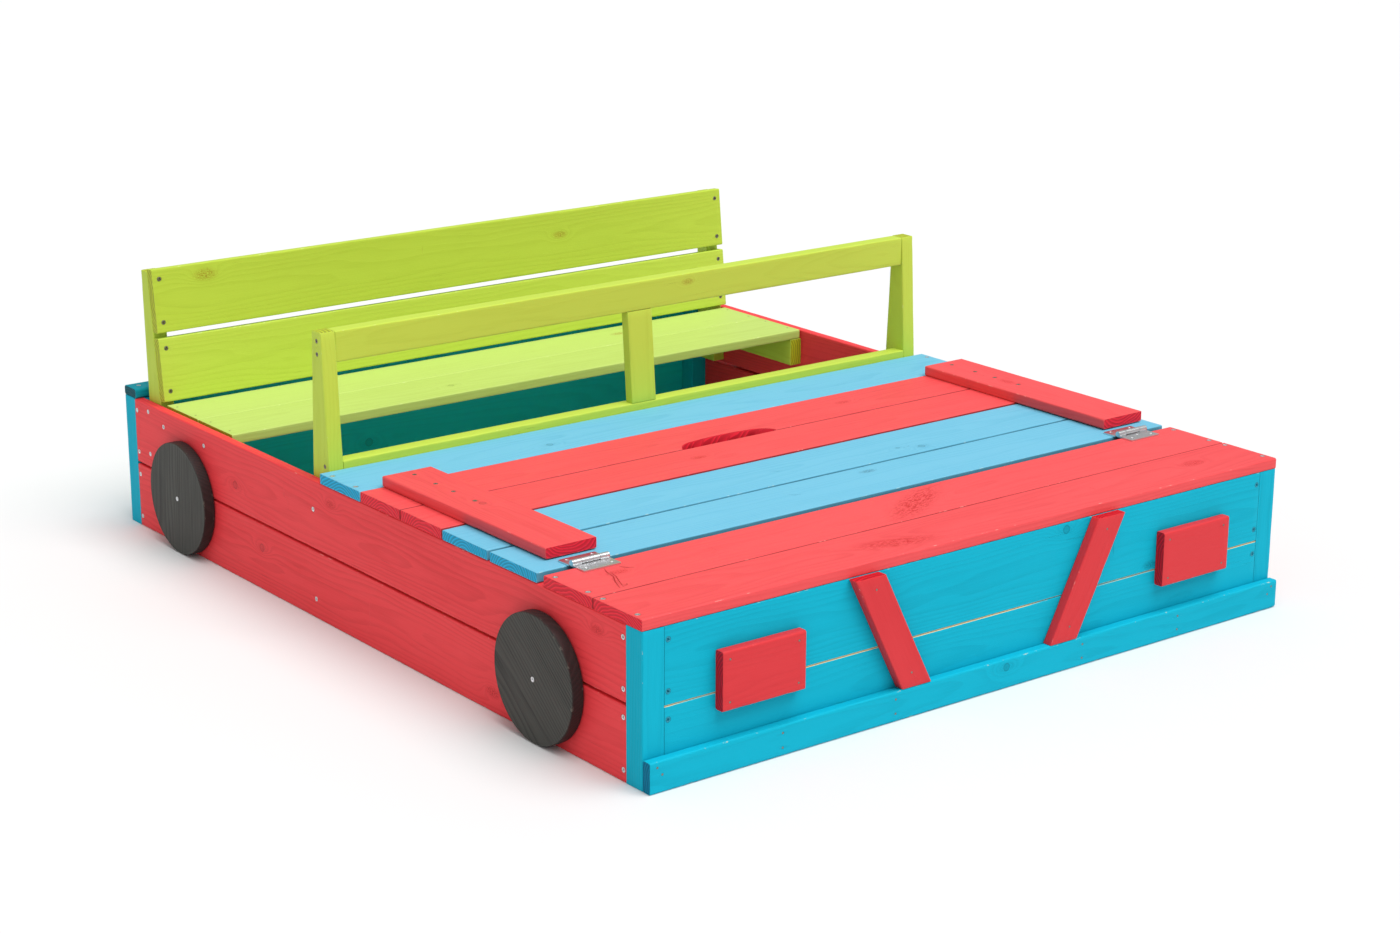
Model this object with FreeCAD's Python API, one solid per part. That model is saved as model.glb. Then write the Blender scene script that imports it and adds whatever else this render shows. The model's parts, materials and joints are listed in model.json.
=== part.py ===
import FreeCAD, Part
import math
import os

# A wooden sandbox in the shape of a car, for a garden.
# The open-bottomed box stands on the ground.  Its front half is roofed by a fixed deck and a hinged lid,
# the "bonnet"; behind them are a windshield frame, the open sand pit and a bench with a backrest.
#
# Axes: +Z up and -Y the front of the car.  "left" is -X, the left hand of someone facing its front.
# Origin: on the ground, in the middle of the bounding box.  Lengths are in millimetres.

# ---- driving dimensions ----
WIDTH = 1200.0              # box, outside
LENGTH = 1437.0             # box, outside, without the bumper
HEIGHT = 218.5              # top of the walls
BOARD = 16.5                # thickness of the planed boards
TIMBER = 25.0               # thickness of the frame timber
TIMBER_WIDTH = 48.0         # width of the frame timber
ROUND = 2.0                 # rounding along the edges of boards and timber

POST = 48.0                 # square corner post
POST_FACE = 35.0            # strip of the post that shows beside the wall boards

RED_BOARD = 107.5           # widths of the top boards
BLUE_BOARD = 113.5
SIDE_GAP = 3.5              # open joint between the two boards of a side wall
END_GAP = 0.6               # tight joint between the two boards of an end wall

DECK_LENGTH = 219.0         # fixed front deck, two boards
DECK_SEAM = 107.0           # middle of the gap between those two
DECK_GAP = 1.0
LID_FRONT = 234.0           # front edge of the lid, from the front wall's outer face
LID_CLEARANCE = 0.4         # between the walls' top and the closed lid
LID_GAP = 2.0               # around the lid and between the red slats
BLUE_GAP = 5.0              # between the two blue slats
BLUE_SLAT = 15.0            # the blue lid slats are planed a little thinner
BATTEN_WIDTH = 85.0
BATTEN_FRONT = 268.0        # front ends of the battens, from the front wall's outer face
BATTEN_X = (-520.0, 545.0)  # middles of the battens; the right one sits nearer its edge
NOTCH_WIDTH = 184.0         # hand notch in the rearmost slat
NOTCH_DEPTH = 29.0

HINGE_X = 520.0             # middle of each hinge, both sides
HINGE_WIDTH = 61.0
HINGE_LEAF = 31.0           # from the pin's axis to the leaf's outer edge
HINGE_PLATE = 2.0
HINGE_AXIS = 225.5          # from the front wall's outer face
BARREL = 4.5                # barrel radius
PIN = 2.2                   # pin radius
PIN_FIT = 0.06              # radial clearance of the turning knuckle
KNUCKLE_GAP = 0.4

WINDSHIELD_TOP = 443.0
WINDSHIELD_LEAN = 12.0      # how far the front edge leans back above the deck
POST_TOP_WIDTH = 26.0
SILL_TOP = 247.0
MIDDLE_POST = 18.0          # thickness of the windshield's middle post

SEAT_FRONT = 1106.0
SEAT_TOP = 220.5
SEAT_LENGTH = 1160.0
SEAT_BOARD = 113.0
UPRIGHT_FOOT = 118.0        # lowest point of the backrest uprights
UPRIGHT_FRONT = (1331.0, 1365.5)    # front edge at the foot and at the top
UPRIGHT_REAR = (1380.0, 1387.0)
UPRIGHT_TOP = 436.0
BACK_BOARD = 105.0
BACK_GAP = 8.5
CAP_DEPTH = 40.0            # rail on top of the rear wall

BUMPER_HEIGHT = 44.5
LAMP = (342.0, 482.0, 86.0, 169.5)  # headlight block: inner x, outer x, bottom, top
GRILLE_TOP = 230.0          # middle of a grille bar at the top of the wall
GRILLE_FOOT = 141.5         # and where it stands on the bumper
GRILLE_WIDTH = 54.0

WHEEL_RADIUS = 92.0
WHEEL_THICKNESS = 19.5
WHEEL_GAP = 1.0             # between a wheel and the side boards
WHEEL_D = (218.0, 1227.0)   # axle places from the front wall's outer face
WHEEL_Z = 92.6

SCREW_LENGTH = 35.0
SCREW_HEAD = 7.6
SCREW_SHANK = 4.0
NAIL_HEAD = 3.2
NAIL_LENGTH = 30.0

# ---- worked-out places ----
FRONT = -(LENGTH + BOARD) / 2 + BOARD       # y of the front wall's outer face
REAR = FRONT + LENGTH
HALF = WIDTH / 2
INNER = HALF - BOARD                        # inner faces of the side walls
SCREW_INSET = (POST_FACE + POST) / 2        # screws sit where the boards lap the posts
TOP = HEIGHT + BOARD                        # top of the fixed deck
LAP_X = HALF - SCREW_INSET
ROWS = {"lower": (17.0, 90.0), "upper": (129.0, 200.0)}     # screw heights in the wall boards
WINDSHIELD_ROWS = {"lower": 31.0, "upper": 173.0}
LID_BOTTOM = HEIGHT + LID_CLEARANCE
REAR_BLUE = LID_FRONT + BLUE_BOARD + BLUE_GAP
FRONT_RED = REAR_BLUE + BLUE_BOARD + LID_GAP
REAR_RED = FRONT_RED + RED_BOARD + LID_GAP
LID_REAR = REAR_RED + RED_BOARD
DASHBOARD = LID_REAR + LID_GAP              # front edge of the fixed board behind the lid
SILL_FRONT = DASHBOARD + BLUE_BOARD         # the windshield stands against that board's rear edge
AXIS_Z = TOP + BARREL                       # hinge pins
CLEAT_TOP = SEAT_TOP - BOARD
BACK_SLOPE = (UPRIGHT_FRONT[1] - UPRIGHT_FRONT[0]) / (UPRIGHT_TOP - UPRIGHT_FOOT)
BACK_ANGLE = math.degrees(math.atan(BACK_SLOPE))
BACK_STARTS = {"lower": 3.0, "upper": 3.0 + BACK_BOARD + BACK_GAP}     # up the slope from the seat

V = FreeCAD.Vector
X_AXIS = V(1, 0, 0)
Y_AXIS = V(0, 1, 0)
Z_AXIS = V(0, 0, 1)
SIDES = {"left": -1, "right": 1}

nodes = {}


def back(distance):
    """The y of a place that lies this far behind the front wall's outer face."""
    return FRONT + distance


def block(x0, x1, y0, y1, z0, z1):
    return Part.makeBox(x1 - x0, y1 - y0, z1 - z0, V(x0, y0, z0))


def rounded(shape, along, radius=ROUND):
    """The shape with its straight edges along one direction rounded over."""
    edges = [e for e in shape.Edges
             if e.Curve.TypeId == "Part::GeomLine"
             and abs(e.tangentAt(e.FirstParameter).dot(along)) > 0.99]
    return shape.makeFillet(radius, edges)


def plank(x0, x1, y0, y1, z0, z1, along, radius=ROUND):
    """A planed board with its four long edges rounded over."""
    return rounded(block(x0, x1, y0, y1, z0, z1), along, radius)


def prism(points, sweep):
    """A flat outline swept along a straight line."""
    return Part.Face(Part.makePolygon(points + points[:1])).extrude(sweep)


def mirrored(shape):
    """The same piece on the other side of the car."""
    return shape.mirror(V(0, 0, 0), X_AXIS)


# ---- fasteners ----

def screw_blank(place, direction, length=SCREW_LENGTH, head=SCREW_HEAD, shank=SCREW_SHANK):
    """A countersunk wood screw as a solid of revolution, its head flush at the given place."""
    head_height = (head - shank) / 2
    tip = 1.5 * shank
    cone = Part.makeCone(head / 2, shank / 2, head_height, place, direction)
    stem_place = place + direction * head_height
    stem = Part.makeCylinder(shank / 2, length - head_height - tip, stem_place, direction)
    point = Part.makeCone(shank / 2, 0.3, tip, place + direction * (length - tip), direction)
    return cone.fuse([stem, point]).removeSplitter()


def with_drive(blank, place, direction, size=1.5, depth=1.6):
    """The screw with the tapered recess for the driver."""
    return blank.cut(Part.makeCone(size, size * 0.55, depth, place, direction))


def nail(place, direction, length=NAIL_LENGTH):
    """A brad: a small flat head on a thin shank."""
    head = Part.makeCylinder(NAIL_HEAD / 2, 1.0, place, direction)
    shank = Part.makeCylinder(0.9, length - 1.0, place + direction, direction)
    return head.fuse(shank).removeSplitter()


def drill(names, blanks):
    """Cut the fasteners' exact shapes out of the pieces that they pass through."""
    for name in names:
        nodes[name] = nodes[name].cut(blanks)


def drive_screws(group, names, places, direction, **sizes):
    """Drill the named pieces and add one screw at each place to the group."""
    blanks = [screw_blank(place, direction, **sizes) for place in places]
    drill(names, blanks)
    finished = [with_drive(blank, place, direction) for blank, place in zip(blanks, places)]
    nodes.setdefault(group, []).extend(finished)


def drive_nails(group, names, places, direction, length=NAIL_LENGTH):
    nails = [nail(place, direction, length) for place in places]
    drill(names, nails)
    nodes.setdefault(group, []).extend(nails)


# ---- the box ----

def corner_post():
    """The front left post: a square bar rebated for the side and the front boards."""
    bar = block(-HALF, -HALF + POST, FRONT, FRONT + POST, 0, HEIGHT)
    side_rebate = block(-HALF - 1, -INNER, FRONT + POST_FACE, FRONT + POST + 1, -1, HEIGHT + 1)
    end_rebate = block(-HALF + POST_FACE, -HALF + POST + 1, FRONT - 1, FRONT + BOARD, -1, HEIGHT + 1)
    outer_edge = [e for e in bar.Edges
                  if abs(e.CenterOfMass.x + HALF) < 0.01 and abs(e.CenterOfMass.y - FRONT) < 0.01]
    return bar.makeFillet(ROUND, outer_edge).cut([side_rebate, end_rebate])


def make_posts():
    front_left = corner_post()
    middle = V(0, FRONT + LENGTH / 2, 0)
    rear_left = front_left.mirror(middle, Y_AXIS)
    nodes["corner_post_front_left"] = front_left
    nodes["corner_post_front_right"] = mirrored(front_left)
    nodes["corner_post_rear_left"] = rear_left
    nodes["corner_post_rear_right"] = mirrored(rear_left)


def levels(gap):
    """Bottom and top of the two boards of a wall, with that gap between them."""
    return {"lower": (0, (HEIGHT - gap) / 2), "upper": ((HEIGHT + gap) / 2, HEIGHT)}


def make_walls():
    """Two boards one above the other on each side of the box."""
    for level, heights in levels(SIDE_GAP).items():
        for side, sign in SIDES.items():
            x0, x1 = sorted((sign * INNER, sign * HALF))
            nodes[f"{side}_wall_board_{level}"] = plank(
                x0, x1, FRONT + POST_FACE, REAR - POST_FACE, *heights, Y_AXIS)
    span = HALF - POST_FACE
    for level, heights in levels(END_GAP).items():
        nodes[f"front_wall_board_{level}"] = plank(-span, span, FRONT, FRONT + BOARD, *heights, X_AXIS, 1.0)
        nodes[f"rear_wall_board_{level}"] = plank(-span, span, REAR - BOARD, REAR, *heights, X_AXIS, 1.0)


def make_tops():
    """The fixed deck, the board behind the lid and the rail on the rear wall."""
    seam = back(DECK_SEAM)
    near, far = seam - DECK_GAP / 2, seam + DECK_GAP / 2
    nodes["deck_board_front"] = plank(-HALF, HALF, FRONT, near, HEIGHT, TOP, X_AXIS)
    nodes["deck_board_rear"] = plank(-HALF, HALF, far, back(DECK_LENGTH), HEIGHT, TOP, X_AXIS)
    nodes["dashboard_board"] = plank(
        -HALF, HALF, back(DASHBOARD), back(DASHBOARD + BLUE_BOARD), HEIGHT, TOP, X_AXIS)
    nodes["rear_wall_cap"] = plank(-HALF, HALF, REAR - CAP_DEPTH, REAR, HEIGHT, TOP, X_AXIS, 4.0)


# ---- the front of the car ----

def make_front_trim():
    nodes["bumper_board"] = plank(-HALF, HALF, FRONT - BOARD, FRONT, 0, BUMPER_HEIGHT, X_AXIS, 3.0)
    inner, outer, bottom, top = LAMP
    lamp = plank(-outer, -inner, FRONT - BOARD, FRONT, bottom, top, X_AXIS, 3.0)
    nodes["headlight_left"] = lamp
    nodes["headlight_right"] = mirrored(lamp)
    half = GRILLE_WIDTH / 2
    y = FRONT - BOARD
    bar = prism([V(-GRILLE_TOP - half, y, HEIGHT), V(-GRILLE_TOP + half, y, HEIGHT),
                 V(-GRILLE_FOOT + half, y, BUMPER_HEIGHT), V(-GRILLE_FOOT - half, y, BUMPER_HEIGHT)],
                V(0, BOARD, 0))
    nodes["grille_bar_left"] = bar
    nodes["grille_bar_right"] = mirrored(bar)


def make_wheels():
    """Plain wooden discs, each turning on one centre screw."""
    for side, sign in SIDES.items():
        out = X_AXIS * sign
        inner_face = HALF + WHEEL_GAP
        outer_face = inner_face + WHEEL_THICKNESS
        for end, distance in zip(("front", "rear"), WHEEL_D):
            hub = V(sign * inner_face, back(distance), WHEEL_Z)
            disc = Part.makeCylinder(WHEEL_RADIUS, WHEEL_THICKNESS, hub, out)
            rims = [e for e in disc.Edges if e.Closed and e.Length > WHEEL_RADIUS]
            disc = disc.makeFillet(1.5, rims)
            head = V(sign * outer_face, back(distance), WHEEL_Z)
            loose = screw_blank(head, -out, head=SCREW_HEAD + 0.8, shank=SCREW_SHANK + 2 * PIN_FIT)
            nodes[f"wheel_{end}_{side}"] = disc.cut(loose)
            drive_screws("wheel_screws", [f"{side}_wall_board_lower"], [head], -out)


# ---- windshield ----

def make_windshield():
    """Two tapered posts that reach down inside the box, two rails and a middle post."""
    foot = SILL_FRONT
    head = foot + WINDSHIELD_LEAN
    outline = [V(-INNER, back(foot), 8), V(-INNER, back(foot + TIMBER_WIDTH), 8),
               V(-INNER, back(foot + TIMBER_WIDTH), HEIGHT),
               V(-INNER, back(head + POST_TOP_WIDTH), WINDSHIELD_TOP),
               V(-INNER, back(head), WINDSHIELD_TOP), V(-INNER, back(foot), TOP)]
    post = rounded(prism(outline, V(TIMBER, 0, 0)), Z_AXIS, 1.5)
    nodes["windshield_post_left"] = post
    nodes["windshield_post_right"] = mirrored(post)
    span = INNER - TIMBER
    rail_bottom = WINDSHIELD_TOP - TIMBER_WIDTH
    nodes["windshield_top_rail"] = plank(
        -span, span, back(head), back(head + TIMBER), rail_bottom, WINDSHIELD_TOP, X_AXIS)
    nodes["windshield_sill"] = plank(
        -span, span, back(foot), back(foot + TIMBER), SILL_TOP - TIMBER_WIDTH, SILL_TOP, X_AXIS)
    half = TIMBER_WIDTH / 2
    middle = [V(-half, back(foot), SILL_TOP), V(-half, back(foot + MIDDLE_POST), SILL_TOP),
              V(-half, back(head + MIDDLE_POST), rail_bottom), V(-half, back(head), rail_bottom)]
    nodes["windshield_middle_post"] = prism(middle, V(TIMBER_WIDTH, 0, 0))


# ---- bench ----

def back_board(start):
    """A backrest board that begins this far up the slope from the seat's top."""
    board = plank(-INNER, INNER, -BOARD, 0, start, start + BACK_BOARD, X_AXIS)
    board.rotate(V(0, 0, 0), X_AXIS, -BACK_ANGLE)
    y_at_seat = back(UPRIGHT_FRONT[0] + BACK_SLOPE * (SEAT_TOP - UPRIGHT_FOOT))
    board.translate(V(0, y_at_seat, SEAT_TOP))
    return board


def make_bench():
    for side, sign in SIDES.items():
        x0, x1 = sorted((sign * INNER, sign * (INNER - TIMBER)))
        nodes[f"seat_cleat_{side}"] = plank(
            x0, x1, back(SEAT_FRONT), back(UPRIGHT_FRONT[0]), CLEAT_TOP - TIMBER_WIDTH, CLEAT_TOP, Y_AXIS)
        outline = [V(x0, back(UPRIGHT_FRONT[0]), UPRIGHT_FOOT), V(x0, back(UPRIGHT_REAR[0]), UPRIGHT_FOOT),
                   V(x0, back(UPRIGHT_REAR[1]), UPRIGHT_TOP), V(x0, back(UPRIGHT_FRONT[1]), UPRIGHT_TOP)]
        nodes[f"backrest_upright_{side}"] = prism(outline, V(TIMBER, 0, 0))
    half = SEAT_LENGTH / 2
    seam = SEAT_FRONT + SEAT_BOARD
    nodes["seat_board_front"] = plank(
        -half, half, back(SEAT_FRONT), back(seam), CLEAT_TOP, SEAT_TOP, X_AXIS)
    nodes["seat_board_rear"] = plank(
        -half, half, back(seam + END_GAP), back(seam + END_GAP + RED_BOARD), CLEAT_TOP, SEAT_TOP, X_AXIS)
    for level, start in BACK_STARTS.items():
        nodes[f"backrest_board_{level}"] = back_board(start)


# ---- lid ----

def notch():
    """The hand notch: a shallow arch cut from the front edge of the rearmost slat."""
    half = NOTCH_WIDTH / 2
    y = back(REAR_RED)
    z = HEIGHT - 1
    shoulder = half * 0.62
    left = [V(-half, y, z), V(-half * 0.88, y + NOTCH_DEPTH * 0.52, z),
            V(-shoulder, y + NOTCH_DEPTH * 0.86, z)]
    right = [V(-p.x, p.y, p.z) for p in reversed(left)]
    edges = [Part.Arc(*left).toShape(),
             Part.Arc(left[-1], V(0, y + NOTCH_DEPTH, z), right[0]).toShape(),
             Part.Arc(*right).toShape(),
             Part.makePolygon([right[-1], V(half, y - 5, z), V(-half, y - 5, z), left[0]])]
    return Part.Face(Part.Wire(edges)).extrude(V(0, 0, BOARD + 4))


def make_lid():
    """Four slats under two battens.  The slats rest on the walls when the lid is shut."""
    slats = {"lid_slat_front_blue": (LID_FRONT, BLUE_BOARD, BLUE_SLAT),
             "lid_slat_rear_blue": (REAR_BLUE, BLUE_BOARD, BLUE_SLAT),
             "lid_slat_front_red": (FRONT_RED, RED_BOARD, BOARD),
             "lid_slat_rear_red": (REAR_RED, RED_BOARD, BOARD)}
    for name, (start, width, thickness) in slats.items():
        nodes[name] = plank(
            -HALF, HALF, back(start), back(start + width), LID_BOTTOM, LID_BOTTOM + thickness, X_AXIS)
    nodes["lid_slat_rear_red"] = nodes["lid_slat_rear_red"].cut(notch())
    half = BATTEN_WIDTH / 2
    for side, middle in zip(SIDES, BATTEN_X):
        nodes[f"lid_batten_{side}"] = plank(
            middle - half, middle + half, back(BATTEN_FRONT), back(LID_REAR),
            LID_BOTTOM + BOARD, LID_BOTTOM + 2 * BOARD, Y_AXIS)


# ---- hinges ----

def hinge_leaf(middle, toward, plate_bottom, knuckles, bore):
    """One leaf of a butt hinge: the plate, and its knuckles rolled round the pin."""
    half = HINGE_WIDTH / 2
    axis_y = back(HINGE_AXIS)
    plate_top = plate_bottom + HINGE_PLATE
    near, far = sorted((axis_y + toward * (BARREL + KNUCKLE_GAP), axis_y + toward * HINGE_LEAF))
    leaf = block(middle - half, middle + half, near, far, plate_bottom, plate_top)
    outer_corners = [e for e in leaf.Edges
                     if abs(e.tangentAt(e.FirstParameter).z) > 0.99
                     and abs(e.CenterOfMass.y - axis_y) > HINGE_LEAF - 1]
    leaf = leaf.makeFillet(1.5, outer_corners)
    for x0, x1 in knuckles:
        reach, root = sorted((axis_y, axis_y + toward * (BARREL + KNUCKLE_GAP)))
        tongue = block(middle + x0, middle + x1, reach, root, plate_bottom, plate_top)
        roll = Part.makeCylinder(BARREL, x1 - x0, V(middle + x0, axis_y, AXIS_Z), X_AXIS)
        leaf = leaf.fuse([tongue, roll])
    hole = Part.makeCylinder(bore, HINGE_WIDTH + 2, V(middle - half - 1, axis_y, AXIS_Z), X_AXIS)
    return leaf.removeSplitter().cut(hole)


def make_hinges():
    """Two butt hinges on top of the deck and the lid; their pins stay with the deck leaves."""
    half = HINGE_WIDTH / 2
    inner = HINGE_WIDTH / 4
    outer_knuckles = [(-half, -inner), (inner, half)]
    middle_knuckle = [(-inner + KNUCKLE_GAP, inner - KNUCKLE_GAP)]
    pins = []
    for side, sign in SIDES.items():
        x = sign * HINGE_X
        nodes[f"hinge_deck_leaf_{side}"] = hinge_leaf(x, -1, TOP, outer_knuckles, PIN)
        nodes[f"hinge_lid_leaf_{side}"] = hinge_leaf(
            x, 1, LID_BOTTOM + BLUE_SLAT, middle_knuckle, PIN + PIN_FIT)
        pins.append(Part.makeCylinder(PIN, HINGE_WIDTH, V(x - half, back(HINGE_AXIS), AXIS_Z), X_AXIS))
    nodes["hinge_pins"] = pins


# ---- what holds it together ----

def fasten_walls():
    """Countersunk screws through the wall boards into the posts and timbers behind them."""
    upright = (UPRIGHT_FRONT[0] + UPRIGHT_REAR[0]) / 2
    columns = {"corner_post_front": SCREW_INSET, "corner_post_rear": LENGTH - SCREW_INSET}
    for side, sign in SIDES.items():
        inward = X_AXIS * -sign
        for level, rows in ROWS.items():
            board = f"{side}_wall_board_{level}"
            for timber, distance in columns.items():
                places = [V(sign * HALF, back(distance), z) for z in rows]
                drive_screws("side_wall_screws", [board, f"{timber}_{side}"], places, inward)
            place = V(sign * HALF, back(SILL_FRONT + TIMBER_WIDTH / 2), WINDSHIELD_ROWS[level])
            drive_screws("side_wall_screws", [board, f"windshield_post_{side}"], [place], inward)
        upper = f"{side}_wall_board_upper"
        places = [V(sign * HALF, back(upright), z) for z in (134.0, 206.0)]
        drive_screws("side_wall_screws", [upper, f"backrest_upright_{side}"], places, inward)
        places = [V(sign * HALF, back(distance), 192.0) for distance in (1166.0, 1303.0)]
        drive_screws("side_wall_screws", [upper, f"seat_cleat_{side}"], places, inward)
        for end, y, direction in (("front", FRONT, Y_AXIS), ("rear", REAR, -Y_AXIS)):
            for level, rows in ROWS.items():
                places = [V(sign * LAP_X, y, z) for z in rows]
                drive_screws("end_wall_screws", [f"{end}_wall_board_{level}", f"corner_post_{end}_{side}"],
                             places, direction)


def fasten_tops():
    """Screws down through the deck, the dashboard and the rear cap."""
    edge = HALF - BOARD / 2
    for side, sign in SIDES.items():
        wall = f"{side}_wall_board_upper"
        post = f"corner_post_front_{side}"
        rows = [("deck_board_front", post, 21.0), ("deck_board_front", wall, 96.0),
                ("deck_board_rear", wall, 129.0), ("deck_board_rear", wall, 203.0),
                ("dashboard_board", wall, DASHBOARD + 24.0), ("dashboard_board", wall, DASHBOARD + 90.0)]
        for board, under, distance in rows:
            drive_screws("top_screws", [board, under], [V(sign * edge, back(distance), TOP)], -Z_AXIS)
        drive_screws("top_screws", ["rear_wall_cap", f"corner_post_rear_{side}"],
                     [V(sign * (HALF - 17), REAR - 18, TOP)], -Z_AXIS)


def fasten_bench():
    """Dark screws through the backrest boards, and brads through the seat boards."""
    slope = math.radians(BACK_ANGLE)
    into = V(0, math.cos(slope), -math.sin(slope))
    up_slope = V(0, math.sin(slope), math.cos(slope))
    seat_point = V(0, back(UPRIGHT_FRONT[0] + BACK_SLOPE * (SEAT_TOP - UPRIGHT_FOOT)), SEAT_TOP)
    for side, sign in SIDES.items():
        x = sign * (INNER - TIMBER / 2)
        for level, start in BACK_STARTS.items():
            names = [f"backrest_board_{level}", f"backrest_upright_{side}"]
            for rise in (start + 17.0, start + BACK_BOARD - 17.0):
                place = V(x, 0, 0) + seat_point + up_slope * rise - into * BOARD
                drive_screws("backrest_screws", names, [place], into, length=32.0, head=7.0)
        cleat = f"seat_cleat_{side}"
        for board, start in (("seat_board_front", SEAT_FRONT), ("seat_board_rear", SEAT_FRONT + SEAT_BOARD)):
            places = [V(x, back(start + inset), SEAT_TOP) for inset in (25.0, 88.0)]
            drive_nails("brads", [board, cleat], places, -Z_AXIS)


def fasten_windshield():
    """Screws through the posts into the ends of the rails."""
    head_y = back(SILL_FRONT + WINDSHIELD_LEAN + TIMBER / 2)
    sill_y = back(SILL_FRONT + TIMBER / 2)
    for side, sign in SIDES.items():
        inward = X_AXIS * -sign
        post = f"windshield_post_{side}"
        top_places = [V(sign * INNER, head_y, WINDSHIELD_TOP - drop) for drop in (14.0, 34.0)]
        drive_screws("windshield_screws", [post, "windshield_top_rail"], top_places, inward,
                     length=50.0, head=6.4)
        drive_screws("windshield_screws", [post, "windshield_sill"], [V(sign * INNER, sill_y, SILL_TOP - 8)],
                     inward, length=50.0, head=6.4)


def fasten_lid():
    """Dark screws down through the battens into the red slats, and up through the blue slats."""
    top = LID_BOTTOM + 2 * BOARD
    for side, middle in zip(SIDES, BATTEN_X):
        batten = f"lid_batten_{side}"
        for slat, distances in (("lid_slat_rear_red", (LID_REAR - 21, LID_REAR - 78)),
                                ("lid_slat_front_red", (FRONT_RED + 36, FRONT_RED + 92))):
            places = [V(middle, back(distance), top) for distance in distances]
            drive_screws("batten_screws", [batten, slat], places, -Z_AXIS, length=28.0, head=6.4, shank=3.5)
        for slat, start in (("lid_slat_front_blue", BATTEN_FRONT + 20),
                            ("lid_slat_rear_blue", REAR_BLUE + 25)):
            places = [V(middle, back(start), LID_BOTTOM), V(middle, back(start + 45), LID_BOTTOM)]
            drive_screws("slat_screws", [slat, batten], places, Z_AXIS, length=28.0, head=7.0, shank=3.5)


def fasten_hinges():
    """Three short screws in each leaf, the middle one nearer the pin."""
    for side, sign in SIDES.items():
        for toward, leaf, board, surface, group in (
                (-1, f"hinge_deck_leaf_{side}", "deck_board_rear", TOP, "hinge_deck_screws"),
                (1, f"hinge_lid_leaf_{side}", "lid_slat_front_blue", LID_BOTTOM + BLUE_SLAT,
                 "hinge_lid_screws")):
            for along, reach in ((-21.0, 23.0), (0.0, 13.5), (21.0, 23.0)):
                place = V(sign * HINGE_X + along, back(HINGE_AXIS + toward * reach), surface + HINGE_PLATE)
                drive_screws(group, [leaf, board], [place], -Z_AXIS, length=14.0, head=7.0, shank=3.2)


def fasten_trim():
    """Brads through the bumper, the headlights and the grille bars into the front wall."""
    y = FRONT - BOARD
    inner, outer, bottom, top = LAMP
    for side, sign in SIDES.items():
        post = f"corner_post_front_{side}"
        places = [V(sign * (HALF - 12), y, 36.0), V(sign * (HALF - 20), y, 25.0)]
        drive_nails("brads", ["bumper_board", post], places, Y_AXIS)
        places = [V(sign * x, y, z) for x in (180.0, 380.0) for z in (12.0, 33.0)]
        drive_nails("brads", ["bumper_board", "front_wall_board_lower"], places, Y_AXIS)
        lamp = f"headlight_{side}"
        places = [V(sign * x, y, bottom + 12) for x in (inner + 12, outer - 12)]
        drive_nails("brads", [lamp, "front_wall_board_lower"], places, Y_AXIS)
        places = [V(sign * x, y, top - 12) for x in (inner + 12, outer - 12)]
        drive_nails("brads", [lamp, "front_wall_board_upper"], places, Y_AXIS)
        bar = f"grille_bar_{side}"
        drive_nails("brads", [bar, "front_wall_board_upper"], [V(sign * 220.0, y, 200.0)], Y_AXIS)
        drive_nails("brads", [bar, "front_wall_board_lower"], [V(sign * 152.0, y, 66.0)], Y_AXIS)


def build():
    make_posts()
    make_walls()
    make_tops()
    make_front_trim()
    make_wheels()
    make_windshield()
    make_bench()
    make_lid()
    make_hinges()
    fasten_walls()
    fasten_tops()
    fasten_bench()
    fasten_windshield()
    fasten_lid()
    fasten_hinges()
    fasten_trim()


def save():
    os.makedirs("parts", exist_ok=True)
    for name, shape in nodes.items():
        if isinstance(shape, list):
            shape = Part.makeCompound(shape)
        solids = len(shape.Solids)
        volume = shape.Volume / 1000
        print(f"{name:32s} solids {solids:3d}  volume {volume:9.1f} cm3  valid {shape.isValid()}")
        shape.exportStep(f"parts/{name}.step")


build()
save()
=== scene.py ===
import json
import math
import random

import bmesh
import bpy
import numpy as np
from mathutils import Matrix, Vector


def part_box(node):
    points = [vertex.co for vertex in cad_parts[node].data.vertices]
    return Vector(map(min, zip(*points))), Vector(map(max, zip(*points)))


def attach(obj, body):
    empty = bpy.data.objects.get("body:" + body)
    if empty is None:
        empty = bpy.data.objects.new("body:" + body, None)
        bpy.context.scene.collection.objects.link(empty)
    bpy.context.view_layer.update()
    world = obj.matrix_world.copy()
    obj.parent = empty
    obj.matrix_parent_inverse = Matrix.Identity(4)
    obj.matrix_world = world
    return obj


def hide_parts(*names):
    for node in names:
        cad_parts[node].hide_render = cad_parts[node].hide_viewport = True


# The looks of a painted wooden sandbox in the shape of a car.
# Every board is rebuilt inside its CAD solid with worn edges, grain relief and real screw holes.
# Lengths are in metres.  "along", "across" and "through" are a board's own directions.

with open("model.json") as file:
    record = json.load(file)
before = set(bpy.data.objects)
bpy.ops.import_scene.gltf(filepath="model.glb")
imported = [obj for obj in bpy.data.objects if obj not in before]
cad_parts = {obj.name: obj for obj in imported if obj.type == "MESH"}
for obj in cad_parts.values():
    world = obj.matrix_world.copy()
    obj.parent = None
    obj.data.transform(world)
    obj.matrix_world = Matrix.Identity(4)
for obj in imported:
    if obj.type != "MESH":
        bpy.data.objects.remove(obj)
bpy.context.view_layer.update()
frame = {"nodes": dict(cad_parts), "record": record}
SCREW_GROUPS = {"side_wall_screws": "zinc", "end_wall_screws": "painted", "top_screws": "zinc",
                "wheel_screws": "zinc", "hinge_deck_screws": "zinc", "hinge_lid_screws": "zinc",
                "backrest_screws": "dark", "windshield_screws": "dark", "batten_screws": "dark"}

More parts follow.
